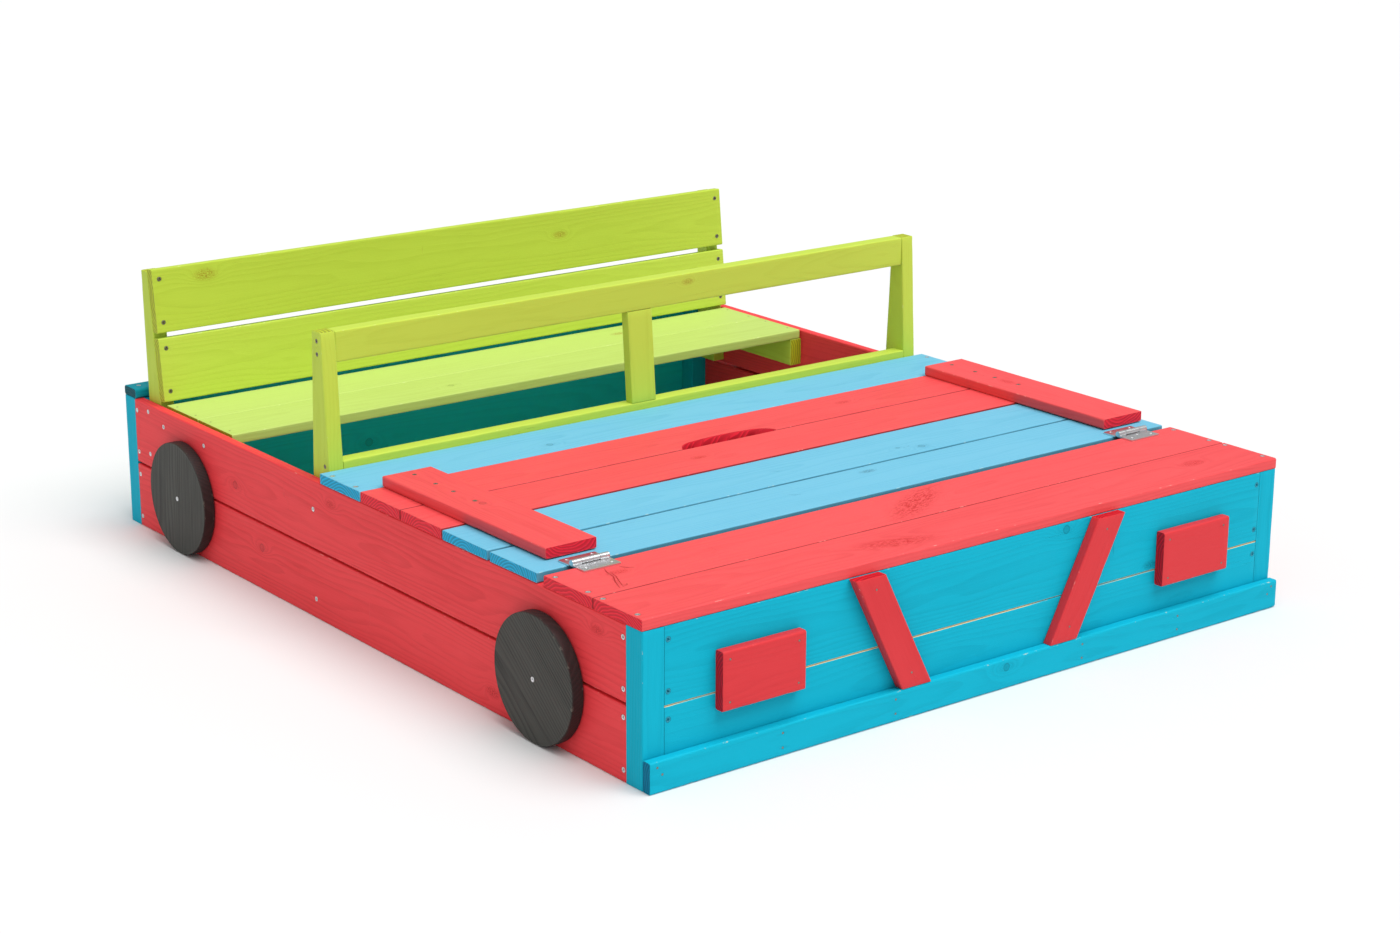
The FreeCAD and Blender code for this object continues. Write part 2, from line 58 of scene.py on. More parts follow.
# ---- sizes that the boards' boxes don't hold ----
BOX_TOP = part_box("left_wall_board_upper")[1].z
DECK_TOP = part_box("deck_board_front")[1].z
BOARD = DECK_TOP - BOX_TOP
WINDSHIELD_LEAN = 0.012     # how far the windshield leans back between its foot and its top
POST_TOP_WIDTH = 0.026
UPRIGHT_FRONT_SHIFT = 0.0345    # how far the front of a backrest upright moves back over its height
UPRIGHT_REAR_SHIFT = 0.007
GRILLE_HALF = 0.027         # half the width of a grille bar
POST_FACE = 0.035           # corner post's face beside the wall boards
BACK_BOARD = 0.105          # width of a backrest board
NOTCH_HALF = 0.092          # hand notch: half its width, and its depth
NOTCH_DEPTH = 0.029
SMOOTH_ANGLE = 38.0         # edges sharper than this, in degrees, are drawn sharp
CLOSEST = 0.0008            # least distance between two rows of points
FINE = 0.0032               # distance between the rows of points across a board
SOFT = 0.0010               # radius of a board's end edges
CRACK_DEPTH = 0.0035
WHEEL_SEGMENTS = 132
RING_PITCH = 0.0094         # distance between the ridges on a board's ends
RING_WIDTH = 0.0047         # distance between the growth rings in the paint
NO_KNOT = (40.0, 40.0, 0.0)     # a place far from any knot, in knot radii


# ---- noise for the relief, the same on every run ----

def lattice(ix, iy, seed):
    """A fixed number from 0 to 1 for each whole-numbered place."""
    n = (ix * 374761393 + iy * 668265263 + seed * 974711) & 0xFFFFFFFF
    n = ((n ^ (n >> 13)) * 1274126177) & 0xFFFFFFFF
    return ((n ^ (n >> 16)) & 0xFFFFFF) / float(0xFFFFFF)


def noise(x, y, seed):
    """Smooth noise from 0 to 1 over two coordinates."""
    ix, iy = np.floor(x).astype(np.int64), np.floor(y).astype(np.int64)
    fx, fy = x - ix, y - iy
    fx, fy = fx * fx * (3 - 2 * fx), fy * fy * (3 - 2 * fy)
    low = lattice(ix, iy, seed) * (1 - fx) + lattice(ix + 1, iy, seed) * fx
    high = lattice(ix, iy + 1, seed) * (1 - fx) + lattice(ix + 1, iy + 1, seed) * fx
    return low * (1 - fy) + high * fy


# ---- meshes ----

def new_piece(name, vertices, faces, smooth_angle=SMOOTH_ANGLE):
    """A mesh object with outward normals and sharp edges past an angle."""
    mesh = bpy.data.meshes.new(name)
    mesh.from_pydata([tuple(v) for v in vertices], [], [tuple(f) for f in faces])
    made = bmesh.new()
    made.from_mesh(mesh)
    bmesh.ops.recalc_face_normals(made, faces=made.faces)
    made.to_mesh(mesh)
    made.free()
    mesh.shade_smooth()
    mesh.set_sharp_from_angle(angle=math.radians(smooth_angle))
    piece = bpy.data.objects.new(name, mesh)
    bpy.context.scene.collection.objects.link(piece)
    return piece


def cut(piece, cutters):
    """Cuts closed meshes out of a piece."""
    if not cutters:
        return
    vertices, faces = [], []
    for cutter_vertices, cutter_faces in cutters:
        start = len(vertices)
        vertices += list(cutter_vertices)
        faces += [[start + i for i in face] for face in cutter_faces]
    tool = new_piece("cutter", vertices, faces)
    modifier = piece.modifiers.new("cut", "BOOLEAN")
    modifier.operation = "DIFFERENCE"
    modifier.solver = "EXACT"
    modifier.object = tool
    evaluated = piece.evaluated_get(bpy.context.evaluated_depsgraph_get())
    mesh = bpy.data.meshes.new_from_object(evaluated)
    piece.modifiers.clear()
    piece.data = mesh
    mesh.set_sharp_from_angle(angle=math.radians(SMOOTH_ANGLE))
    bpy.data.objects.remove(tool)


def lathe(profile, place, direction, segments=28, turn=0.0, reshape=None):
    """A closed solid turned about a line: profile holds (radius, distance along the line) pairs."""
    axis = Vector(direction).normalized()
    side = axis.orthogonal().normalized()
    other = axis.cross(side)
    vertices, faces = [], []
    for radius, height in profile:
        for step in range(segments):
            angle = turn + 2 * math.pi * step / segments
            h = height + (reshape(radius, angle - turn) if reshape else 0.0)
            vertices.append(Vector(place) + axis * h
                            + (side * math.cos(angle) + other * math.sin(angle)) * radius)
    rows = len(profile)
    for row in range(rows - 1):
        for step in range(segments):
            after = (step + 1) % segments
            faces.append([row * segments + step, row * segments + after,
                          (row + 1) * segments + after, (row + 1) * segments + step])
    faces.append(list(range(segments)))
    faces.append(list(range((rows - 1) * segments, rows * segments)))
    return vertices, faces


def spread(first, last, count, dense, margin):
    """Evenly spaced places between two others, with closer ones round each dense place."""
    places = list(np.linspace(first, last, count + 1))[1:-1]
    for place, reach, gap in dense:
        places += list(np.arange(max(place - reach, first + margin), min(place + reach, last - margin), gap))
    kept = []
    for value in sorted(places):
        if not kept or value - kept[-1] > CLOSEST:
            kept.append(value)
    return kept


def steps(length, radius, spacing, dense=()):
    """Places across a board, close together in the rounded edges and round the dense places."""
    corner = [radius * (1 - math.tan(math.radians(a))) for a in (45, 30, 15, 0)]
    count = max(1, round((length - 2 * radius) / spacing))
    kept = spread(radius, length - radius, count, dense, radius * 0.5)
    return np.array(corner + kept + [length - c for c in reversed(corner)])


def ends(length, soft, spacing, dense=()):
    """Places along a board and how far its outline draws in there, to soften the end edges."""
    turns = [math.radians(a) for a in (0, 30, 60, 90)]
    lead = [soft * (1 - math.cos(t)) for t in turns]
    inset = [soft * (1 - math.sin(t)) for t in turns]
    count = max(2, round((length - 2 * soft) / spacing))
    kept = spread(soft, length - soft, count, dense, soft)
    along = np.array(lead + kept + [length - t for t in reversed(lead)])
    drawn_in = np.array(inset + [0.0] * len(kept) + list(reversed(inset)))
    return along, drawn_in


def radii(size):
    """A knot's radius along the board and across it, and how far it leans along the board."""
    return size if isinstance(size, tuple) else (size, size, 0.0)


def grid(sheet):
    """Four-sided faces over a sheet of point numbers."""
    return np.stack([sheet[:-1, :-1], sheet[1:, :-1], sheet[1:, 1:], sheet[:-1, 1:]], -1).reshape(-1, 4)


def rounded_corner(b, c, box, radius):
    """Moves a square section's points onto rounded corners, and gives the outward directions there."""
    b0, b1, c0, c1 = box
    qb, qc = np.clip(b, b0 + radius, b1 - radius), np.clip(c, c0 + radius, c1 - radius)
    db, dc = b - qb, c - qc
    reach = np.hypot(db, dc)
    some = reach > 1e-9
    safe = np.maximum(reach, 1e-9)
    scale = np.where(some, np.maximum(abs(db), abs(dc)) / safe, 0)
    return qb + db * scale, qc + dc * scale, np.where(some, db / safe, 0), np.where(some, dc / safe, 0)


def side_relief(a, b, c, box, corner, knots, seed):
    """How far a board's sides sink: fibres, a slow waviness, worn and chipped edges, and knots."""
    b0, _, c0, _ = box
    girth = b - b0[0] + 1.7 * (c - c0[0])
    depth = 0.00010 * noise(a / 0.07, girth / 0.0042, seed)
    depth = depth + 0.00007 * noise(a / 0.02, girth / 0.0021, seed + 1)
    depth = depth + 0.00022 * noise(a / 0.30, girth / 0.05, seed + 2)
    worn = noise(a / 0.03, b / 0.03 + c / 0.01, seed + 3)
    chip = noise(a / 0.009, b / 0.05 + c / 0.02, seed + 4)
    depth = depth + corner * (0.00035 * worn ** 2 + 0.0011 * np.clip((chip - 0.86) / 0.14, 0, 1))
    for place, side, wide, tall, lean, kind in knots:
        up = b - b0 - side
        away = np.hypot((a - place - lean * up) / wide, up / tall)
        sunk = 0.00045 * np.exp(-((away - 1.0) / 0.28) ** 2) + 0.00018 * np.exp(-(away / 0.45) ** 2)
        depth = depth + sunk * (1 - 0.8 * kind)
    return depth


def end_relief(b, c, box, pith, seed):
    """How far a board's ends sink: ridges round the pith, and pores."""
    b0, b1, c0, c1 = box
    rings = np.hypot(b - (b0 + b1) / 2 - pith[0], c - (c0 + c1) / 2 - pith[1]) / RING_PITCH
    rings = rings + 0.4 * noise(b / 0.03, c / 0.03, seed + 5)
    ridges = 0.00022 * (1 - np.cos(2 * math.pi * rings))
    return ridges + 0.00008 * noise(b / 0.006, c / 0.006, seed + 6)


def nearest_knot(a, b, b0, knots):
    """Each point's offset from the nearest knot, in knot radii, and that knot's kind."""
    nearest = np.tile(NO_KNOT, (len(a), 1))
    best = np.full(len(a), 1e9)
    for place, side, wide, tall, lean, kind in knots:
        up = b - b0 - side
        offset = np.stack([(a - place - lean * up) / wide, up / tall, np.full(len(a), float(kind))], 1)
        distance = np.hypot(offset[:, 0], offset[:, 1])
        closer = distance < best
        nearest[closer], best[closer] = offset[closer], distance[closer]
    return nearest


def board(name, length, outline, radius, seed, to_world, knots=(), spacing=0.011, end_fine=FINE,
          pith=(0.0, -0.055), bare_side=0, seam_shade=(0.0, 0.0), end_seam_shade=0.0):
    """A board inside the outline, which gives (across low, across high, through low, through high) along it.

    Its relief only goes inward.  end_fine is the distance between the rows of points across it, and pith
    the place of the tree's middle from the board's.  bare_side is the flank (-1 or 1) whose paint has worn
    off.  The seam settings say how much painted shade darkens the two flanks and the end edges, where it
    meets its neighbours.
    """
    knots = [(place, side, *radii(size), kind) for place, side, size, kind in knots]
    dense = [(place, wide * 2.2, 0.0035) for place, _, wide, _, _, _ in knots]
    dense_across = [(side, tall * 1.6, 0.0025) for _, side, _, tall, _, _ in knots]
    along, drawn_in = ends(length, SOFT, spacing, dense)
    b0, b1, c0, c1 = outline(np.array([length / 2]))
    width, thickness = float(b1[0] - b0[0]), float(c1[0] - c0[0])
    across = steps(width, radius, end_fine, dense_across) / width
    through = steps(thickness, radius, FINE) / thickness
    na, nb, nc = len(along), len(across), len(through)
    i, j, k = np.meshgrid(np.arange(na), np.arange(nb), np.arange(nc), indexing="ij")
    rim = (j == 0) | (j == nb - 1) | (k == 0) | (k == nc - 1)
    cap = (i == 0) | (i == na - 1)
    shown = rim | cap
    index = -np.ones(shown.shape, np.int64)
    index[shown] = np.arange(int(shown.sum()))
    i, j, k, rim, cap = (v[shown] for v in (i, j, k, rim, cap))
    a, inset = along[i], drawn_in[i]
    b0, b1, c0, c1 = outline(a)
    box = b0 + inset, b1 - inset, c0 + inset, c1 - inset
    b0, b1, c0, c1 = box
    b, c, out_b, out_c = rounded_corner(b0 + across[j] * (b1 - b0), c0 + through[k] * (c1 - c0), box, radius)
    corner = np.where(rim, np.minimum(abs(out_b), abs(out_c)) * 1.4, 0)
    side_push = np.where(cap, 0, side_relief(a, b, c, box, corner, knots, seed))
    way_in = np.where(i == 0, 1.0, -1.0)
    a = a + np.where(cap, way_in * end_relief(b, c, box, pith, seed), 0)
    b, c = b - out_b * side_push, c - out_c * side_push
    sheets = [index[:, 0, :], index[:, -1, :], index[:, :, 0], index[:, :, -1], index[0], index[-1]]
    faces = np.concatenate([grid(sheet) for sheet in sheets]).tolist()
    piece = new_piece(name, to_world(np.stack([a, b, c], 1)), faces)
    pith_b, pith_c = (b0 + b1) / 2 + pith[0], (c0 + c1) / 2 + pith[1]
    drift = 0.9 + 0.37 * seed
    tilt = 0.006 * (1 if seed % 2 else -1)
    grain = np.stack([a + drift, b - pith_b, c - pith_c + tilt * (a - length / 2)], 1)
    store(piece, "grain", "FLOAT_VECTOR", grain)
    store(piece, "knot", "FLOAT_VECTOR", nearest_knot(a, b, b0, knots))
    bare = (bare_side * out_b > 0.2) & (out_c < 0.9) & ~cap
    store(piece, "edge", "FLOAT", np.where(bare, 2.0, corner))
    store(piece, "end", "FLOAT", np.where(cap, 1.0, 0.0))
    # painted shade along the flanks and end edges where the board meets its neighbours
    flank = np.where(out_b < 0, seam_shade[0], seam_shade[1]) * np.clip((abs(out_b) - 0.5) / 0.4, 0, 1)
    store(piece, "seam_shade", "FLOAT", np.where(cap, 0.0, np.maximum(flank, end_seam_shade * (inset > 0))))
    store(piece, "tone", "FLOAT", np.full(len(a), ((seed * 37) % 17) / 16.0))
    return piece


def store(piece, name, kind, values):
    """A value or vector for each point, which the materials read."""
    attribute = piece.data.attributes.new(name, kind, "POINT")
    key = "vector" if kind == "FLOAT_VECTOR" else "value"
    attribute.data.foreach_set(key, np.asarray(values, np.float32).ravel())


# ---- screws ----

def islands(node):
    """The separate solids of a CAD node, as arrays of points."""
    mesh = frame["nodes"][node].data
    made = bmesh.new()
    made.from_mesh(mesh)
    bmesh.ops.remove_doubles(made, verts=made.verts, dist=1e-6)
    made.verts.ensure_lookup_table()
    seen, found = set(), []
    for start in made.verts:
        if start.index in seen:
            continue
        seen.add(start.index)
        stack, group = [start], []
        while stack:
            vertex = stack.pop()
            group.append(vertex.co.copy())
            for edge in vertex.link_edges:
                other = edge.other_vert(vertex)
                if other.index not in seen:
                    seen.add(other.index)
                    stack.append(other)
        found.append(np.array(group))
    made.free()
    return found


def fastener(points):
    """Head centre, inward direction, head radius and length of one screw or brad."""
    centre = points.mean(0)
    axis = np.linalg.svd(points - centre, full_matrices=False)[2][0]
    along = (points - centre) @ axis
    away = np.linalg.norm(points - centre - np.outer(along, axis), axis=1)
    low, high = along.min(), along.max()
    wide_low = away[along < low + 0.0005].max()
    wide_high = away[along > high - 0.0005].max()
    if wide_high > wide_low:
        axis, low, high = -axis, -high, -low
    head = centre + axis * low
    rim = points[(points - head) @ axis < 0.0003]
    head = rim[np.linalg.norm(rim - head, axis=1) > 0.5 * max(wide_low, wide_high)].mean(0)
    return Vector(head), Vector(axis), max(wide_low, wide_high), high - low


FASTENERS = {group: [fastener(points) for points in islands(group)] for group in (*SCREW_GROUPS, "brads")}


def cross_recess(size, depth):
    """How far a driver's cross sinks the head at a place on it."""
    def sink(radius, angle):
        x, y = radius * math.cos(angle), radius * math.sin(angle)
        near, far = sorted((abs(x), abs(y)))
        arm = max(0.0, 1 - max(0.0, near - 0.13 * size) / (0.09 * size))
        reach = max(0.0, min(1.0, (0.68 * size - far) / (0.18 * size)))
        return depth * min(1.0, arm) * reach
    return sink


def screw(head, axis, radius, length, turn):
    """A countersunk screw with a cross recess, a slightly domed head and a threaded-looking shank."""
    shank = radius * 0.42
    dish = [(radius * f, 0.00012 * f * f) for f in
            (0.02, 0.08, 0.14, 0.20, 0.26, 0.32, 0.38, 0.44, 0.50, 0.56, 0.62, 0.72, 0.84, 0.94)]
    profile = dish + [(radius * 0.985, 0.0002), (radius, 0.0004), (radius * 0.93, 0.0007)]
    neck = radius - shank
    profile.append((shank, neck + 0.0002))
    turns = int((length * 0.78 - neck) / 0.0022)
    for n in range(turns):
        start = neck + 0.0008 + n * 0.0022
        profile += [(shank * 0.80, start), (shank, start + 0.0009), (shank * 0.80, start + 0.0018)]
    profile += [(shank * 0.7, length * 0.9), (0.0002, length - 0.0003)]
    sink = cross_recess(radius, 0.0024)
    return lathe(profile, head, axis, segments=32, turn=turn,
                 reshape=lambda r, angle: sink(r, angle) if r < radius * 0.7 else 0.0)


def screw_hole(head, axis, radius):
    """The countersink round a screw's head, a little wider than the head."""
    wide = radius + 0.00028
    profile = [(wide + 0.0003, -0.0020), (wide + 0.0003, 0.0), (wide, 0.0004),
               (wide - 0.0002, 0.0009), (radius * 0.45, radius * 0.62)]
    return lathe(profile, head, axis, segments=20)


def brad(head, axis, radius, length):
    """A small flat-headed nail."""
    profile = [(radius * 0.1, 0.0001), (radius * 0.6, 0.00014), (radius * 0.94, 0.00022),
               (radius, 0.00045), (radius * 0.9, 0.0009), (radius * 0.5, 0.0012),
               (radius * 0.5, length * 0.9), (0.0002, length - 0.0002)]
    return lathe(profile, head, axis, segments=16)


def brad_hole(head, axis, radius):
    """The shallow hole round a brad's head."""
    return lathe([(radius + 0.00035, -0.0020), (radius + 0.0003, 0.0001), (radius + 0.0001, 0.0006)],
                 head, axis, segments=12)


def holes_for(node):
    """Cutters for each fastener whose head lies on this board's surface."""
    low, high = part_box(node)
    found = []
    for group, screws in FASTENERS.items():
        for head, axis, radius, _ in screws:
            inside = all(low[n] - 0.0012 <= head[n] <= high[n] + 0.0012 for n in range(3))
            probe = head + axis * 0.004
            enters = all(low[n] - 0.0002 <= probe[n] <= high[n] + 0.0002 for n in range(3))
            if inside and enters:
                found.append((brad_hole if group == "brads" else screw_hole)(head, axis, radius))
    return found


# ---- shader graphs ----

class Graph:
    """Short names for building a material's nodes."""

    def __init__(self, name):
        self.material = bpy.data.materials.new(name)
        self.material.use_nodes = True
        self.tree = self.material.node_tree
        self.shader = self.tree.nodes["Principled BSDF"]

    def node(self, kind, inputs=(), **properties):
        made = self.tree.nodes.new(kind)
        for key, value in properties.items():
            setattr(made, key, value)
        for key, value in dict(inputs).items():
            self.put(made.inputs[key], value)
        return made

    def put(self, socket, value):
        if isinstance(value, bpy.types.NodeSocket):
            self.tree.links.new(value, socket)
        else:
            socket.default_value = value

    def math(self, operation, a, b=0.0, clamp=False):
        made = self.node("ShaderNodeMath", operation=operation, use_clamp=clamp)
        for socket, value in zip(made.inputs, (a, b)):
            self.put(socket, value)
        return made.outputs[0]

    def plus(self, a, b, clamp=False):
        return self.math("ADD", a, b, clamp)

    def minus(self, a, b):
        return self.math("SUBTRACT", a, b)

    def times(self, a, b, clamp=False):
        return self.math("MULTIPLY", a, b, clamp)

    def attribute(self, name, output="Fac"):
        return self.node("ShaderNodeAttribute", attribute_name=name).outputs[output]

    def split(self, vector):
        return self.node("ShaderNodeSeparateXYZ", {"Vector": vector}).outputs

    def noise(self, vector, scale, detail=3.0, roughness=0.55, distortion=0.0):
        made = self.node("ShaderNodeTexNoise", {
            "Vector": vector, "Scale": scale, "Detail": detail, "Roughness": roughness,
            "Distortion": distortion})
        return made.outputs["Fac"]

    def stretch(self, vector, x, y, z):
        made = self.node("ShaderNodeVectorMath", {0: vector, 1: (x, y, z)}, operation="MULTIPLY")
        return made.outputs[0]

    def span(self, value, low, high, to_low=0.0, to_high=1.0):
        made = self.node("ShaderNodeMapRange", {
            "Value": value, "From Min": low, "From Max": high, "To Min": to_low, "To Max": to_high},
            interpolation_type="SMOOTHSTEP")
        return made.outputs[0]

    def mix(self, share, first, second):
        made = self.node("ShaderNodeMix", data_type="RGBA")
        for key, value in ((0, share), (6, first), (7, second)):
            self.put(made.inputs[key], value)
        return made.outputs[2]

    def bump(self, height, strength, distance):
        return self.node("ShaderNodeBump", {"Height": height, "Strength": strength,
                                            "Distance": distance}).outputs[0]


def rgb(red, green, blue):
    """A colour given as display values from 0 to 255, as linear light."""
    def linear(value):
        value /= 255
        return value / 12.92 if value <= 0.04045 else ((value + 0.055) / 1.055) ** 2.4
    return (linear(red), linear(green), linear(blue), 1.0)


def shade(colour, factor):
    return tuple(min(1.0, channel * factor) for channel in colour[:3]) + (1.0,)


def painted_wood(name, paint, deep, worn, end, figure=0.30, fibre_strength=0.22, knot_strength=0.75,
                 chips=0.6, gloss=0.26):
    """Stained softwood: growth rings from a pith, fibres, checks, knots, worn edges and end grain.

    paint is the plain colour, deep its grain, worn what shows where it has rubbed off, end the end grain.
    """
    g = Graph(name)
    grain = g.attribute("grain", "Vector")
    knot = g.attribute("knot", "Vector")
    edge, end_face, tone = g.attribute("edge"), g.attribute("end"), g.attribute("tone")
    a, b, c = g.split(grain)
    kx, ky, mottled = g.split(knot)
    away = g.math("SQRT", g.plus(g.times(kx, kx), g.times(ky, ky)))
    long_kx = g.times(kx, 0.45)
    stretched_away = g.math("SQRT", g.plus(g.times(long_kx, long_kx), g.times(ky, ky)))
    squared = g.times(stretched_away, stretched_away)
    flow = g.math("POWER", 2.718, g.times(squared, -0.28))

    # growth rings round the pith, bent by noise and by the knots
    slow = g.noise(g.stretch(grain, 1.6, 9.0, 9.0), 1.0, 2.0)
    fine_warp = g.noise(g.stretch(grain, 9.0, 40.0, 40.0), 1.0, 2.0)
    radius = g.math("SQRT", g.plus(g.times(b, b), g.times(c, c)))
    radius = g.plus(radius, g.times(g.minus(slow, 0.5), 0.045))
    radius = g.plus(radius, g.times(g.minus(fine_warp, 0.5), 0.004))
    radius = g.plus(radius, g.times(flow, 0.016))
    ring = g.math("FRACT", g.math("DIVIDE", radius, RING_WIDTH))
    late = g.times(g.span(ring, 0.25, 0.88), g.span(ring, 0.90, 1.0, 1.0, 0.0))

    # fibres, streaks, pores and checks along the grain
    fibre = g.noise(g.stretch(grain, 16.0, 620.0, 620.0), 1.0, 4.0, 0.7)
    streak = g.noise(g.stretch(grain, 2.2, 60.0, 60.0), 1.0, 3.0, 0.6)
    blotch = g.noise(g.stretch(grain, 3.0, 11.0, 11.0), 1.0, 3.0, 0.6)
    pore = g.span(g.noise(g.stretch(grain, 70.0, 1500.0, 1500.0), 1.0, 2.0), 0.64, 0.74)
    check = g.times(g.span(g.noise(g.stretch(grain, 9.0, 900.0, 900.0), 1.0, 1.0), 0.73, 0.78),
                    g.span(g.noise(g.stretch(grain, 4.0, 14.0, 14.0), 1.0, 1.0), 0.55, 0.68))
    side_face = g.minus(1.0, end_face)
    figure_mask = g.times(late, g.span(streak, 0.2, 0.8, 0.35, 1.0))
    dark = g.plus(g.times(figure_mask, figure), g.times(g.minus(fibre, 0.5), fibre_strength * 2.2))
    dark = g.plus(dark, g.times(g.minus(blotch, 0.5), 0.55))
    dark = g.plus(dark, g.times(g.minus(tone, 0.5), 0.16))
    dark = g.plus(dark, g.times(pore, 0.10), clamp=True)
    colour = g.mix(dark, paint, deep)

    # knots: rings, a dark rim and a halo on a ringed one, darker and redder strokes on a mottled one
    knot_rings = g.math("FRACT", g.plus(g.times(away, 3.2), g.times(fibre, 0.8)))
    core = g.span(away, 0.80, 1.12, 1.0, 0.0)
    near = g.span(stretched_away, 0.5, 1.9, 1.0, 0.0)
    cloudy = g.noise(g.stretch(knot, 1.0, 5.0, 1.0), 1.6, 3.0, 0.7)
    halo = g.times(near, g.span(cloudy, 0.46, 0.64))
    strokes = g.span(g.noise(g.stretch(knot, 2.0, 7.0, 1.0), 1.0, 3.0, 0.75), 0.45, 0.57)
    strokes = g.times(g.times(near, strokes), mottled)
    ringed = g.minus(1.0, mottled)
    rim = g.times(g.span(away, 0.78, 0.98), g.span(away, 0.98, 1.2, 1.0, 0.0))
    knot_dark = g.times(core, g.span(knot_rings, 0.2, 0.9, 0.25, 0.6))
    knot_dark = g.math("MAXIMUM", g.times(rim, 0.9), knot_dark)
    knot_dark = g.math("MAXIMUM", knot_dark, g.times(halo, 0.55))
    knot_dark = g.times(knot_dark, ringed)
    knot_dark = g.times(g.times(knot_dark, side_face), knot_strength, clamp=True)
    stroke_paint = (deep[0] * 0.95, deep[1] * 0.5, deep[2] * 0.5, 1)
    colour = g.mix(g.times(strokes, side_face), colour, stroke_paint)
    colour = g.mix(knot_dark, colour, shade(deep, 0.50))
    colour = g.mix(g.times(check, 0.65), colour, shade(deep, 0.40))

    # end grain, painted shade in the seams, and bare or worn places
    end_rings = g.times(late, 0.85)
    end_colour = g.mix(end_rings, end, shade(end, 1.9))
    end_colour = g.mix(g.times(pore, 0.4), end_colour, shade(end, 0.6))
    colour = g.mix(end_face, colour, end_colour)
    # painted shade in the joints between boards
    colour = g.mix(g.attribute("seam_shade"), colour, shade(deep, 0.45))
    wear = g.times(g.span(edge, 0.35, 0.9),
                   g.span(g.noise(g.stretch(grain, 55.0, 90.0, 90.0), 1.0, 3.0, 0.65), 0.60, 0.68))
    bare = g.times(g.span(edge, 1.25, 1.8), g.span(streak, 0.30, 0.44))
    colour = g.mix(g.math("MAXIMUM", g.times(wear, chips), bare), colour, worn)
    g.put(g.shader.inputs["Base Color"], colour)

    # roughness and bump
    rough = g.plus(g.times(fibre, 0.20), g.times(blotch, 0.16))
    rough = g.plus(rough, g.times(knot_dark, -0.10))
    g.put(g.shader.inputs["Roughness"], g.plus(rough, 0.38, clamp=True))
    height = g.plus(g.times(fibre, 0.6), g.times(late, 0.45))
    height = g.minus(height, g.times(pore, 0.3))
    height = g.minus(height, g.times(check, 1.4))
    height = g.minus(height, g.times(rim, 0.7))
    g.put(g.shader.inputs["Normal"], g.bump(height, 0.42, 0.0004))
    g.shader.inputs["Specular IOR Level"].default_value = gloss
    return g.material


def metal(name, light, dark, rough, metallic=1.0):
    """Plated steel: cloudy spangle, fine scratches and duller patches."""
    g = Graph(name)
    place = g.node("ShaderNodeTexCoord").outputs["Object"]
    cloud = g.noise(place, 160.0, 4.0, 0.65)
    speck = g.noise(place, 1400.0, 2.0, 0.6)
    scratch = g.span(g.noise(g.stretch(place, 900.0, 900.0, 900.0), 1.0, 2.0, 0.5, 1.5), 0.60, 0.70)
    share = g.plus(g.times(cloud, 0.6), g.times(scratch, 0.3), clamp=True)
    g.put(g.shader.inputs["Base Color"], g.mix(share, light, dark))
    g.shader.inputs["Metallic"].default_value = metallic
    value = g.plus(g.times(cloud, 0.22), g.times(speck, 0.10))
    g.put(g.shader.inputs["Roughness"], g.plus(value, rough, clamp=True))
    height = g.minus(g.times(speck, 0.5), g.times(scratch, 0.8))
    g.put(g.shader.inputs["Normal"], g.bump(height, 0.25, 0.00008))
    return g.material


# The tops' copy of the red paint, whiter than the side walls' copy: a painted sheen from the light above.
RED_TOP_SHEEN = painted_wood(
    "red_paint", (0.84, 0.084, 0.090, 1), (0.60, 0.034, 0.040, 1), rgb(240, 160, 150), rgb(205, 26, 44))
# The side walls' copy of the same red paint, without the painted sheen of the tops' copy.
RED_SIDE = painted_wood(
    "red_side_paint", (0.86, 0.050, 0.060, 1), (0.55, 0.016, 0.022, 1), rgb(240, 165, 155),
    rgb(160, 15, 28), figure=0.34)
RED_TRIM = painted_wood(
    "red_trim_paint", (0.68, 0.034, 0.042, 1), (0.52, 0.016, 0.021, 1), rgb(240, 165, 155),
    rgb(170, 12, 28), figure=0.13)
# The tops' copy of the blue paint, whiter than the upright boards' copy: a painted sheen from the light
# above.
BLUE_TOP_SHEEN = painted_wood(
    "blue_paint", (0.160, 0.50, 0.69, 1), (0.050, 0.35, 0.52, 1), rgb(190, 215, 205), rgb(8, 142, 180),
    knot_strength=0.85)
# The upright boards' copy of the same blue paint, without the painted sheen of the tops' copy.
BLUE_WALL = painted_wood(
    "blue_wall_paint", (0.004, 0.43, 0.59, 1), (0.0010, 0.29, 0.41, 1), rgb(222, 205, 160),
    rgb(0, 100, 130), knot_strength=0.85, gloss=0.08)
# The rear wall's copy of the blue paint, greener and brighter: painted green light bounced from the seat into
# the shaded box.
BLUE_INSIDE_BOUNCE = painted_wood(
    "blue_inner_paint_painted_bounce", (0.003, 0.58, 0.66, 1), (0.001, 0.42, 0.48, 1), rgb(150, 190, 180),
    rgb(0, 100, 115), gloss=0.15)
TEAL = painted_wood(
    "teal_paint", (0.002, 0.30, 0.40, 1), (0.001, 0.20, 0.26, 1), rgb(150, 190, 180), rgb(0, 70, 80),
    gloss=0.13)
GREEN = painted_wood(
    "green_paint", (0.53, 0.68, 0.072, 1), (0.38, 0.50, 0.030, 1), rgb(225, 235, 170),
    rgb(150, 160, 30), figure=0.22)
# The upper backrest board's copy of the green paint, a little darker: painted shade against the extra light
# it gets.
BACK_GREEN_SHADED = painted_wood(
    "green_paint_upper_back_shaded", (0.50, 0.65, 0.055, 1), (0.36, 0.48, 0.024, 1), rgb(225, 235, 170),
    rgb(150, 160, 30), figure=0.22)
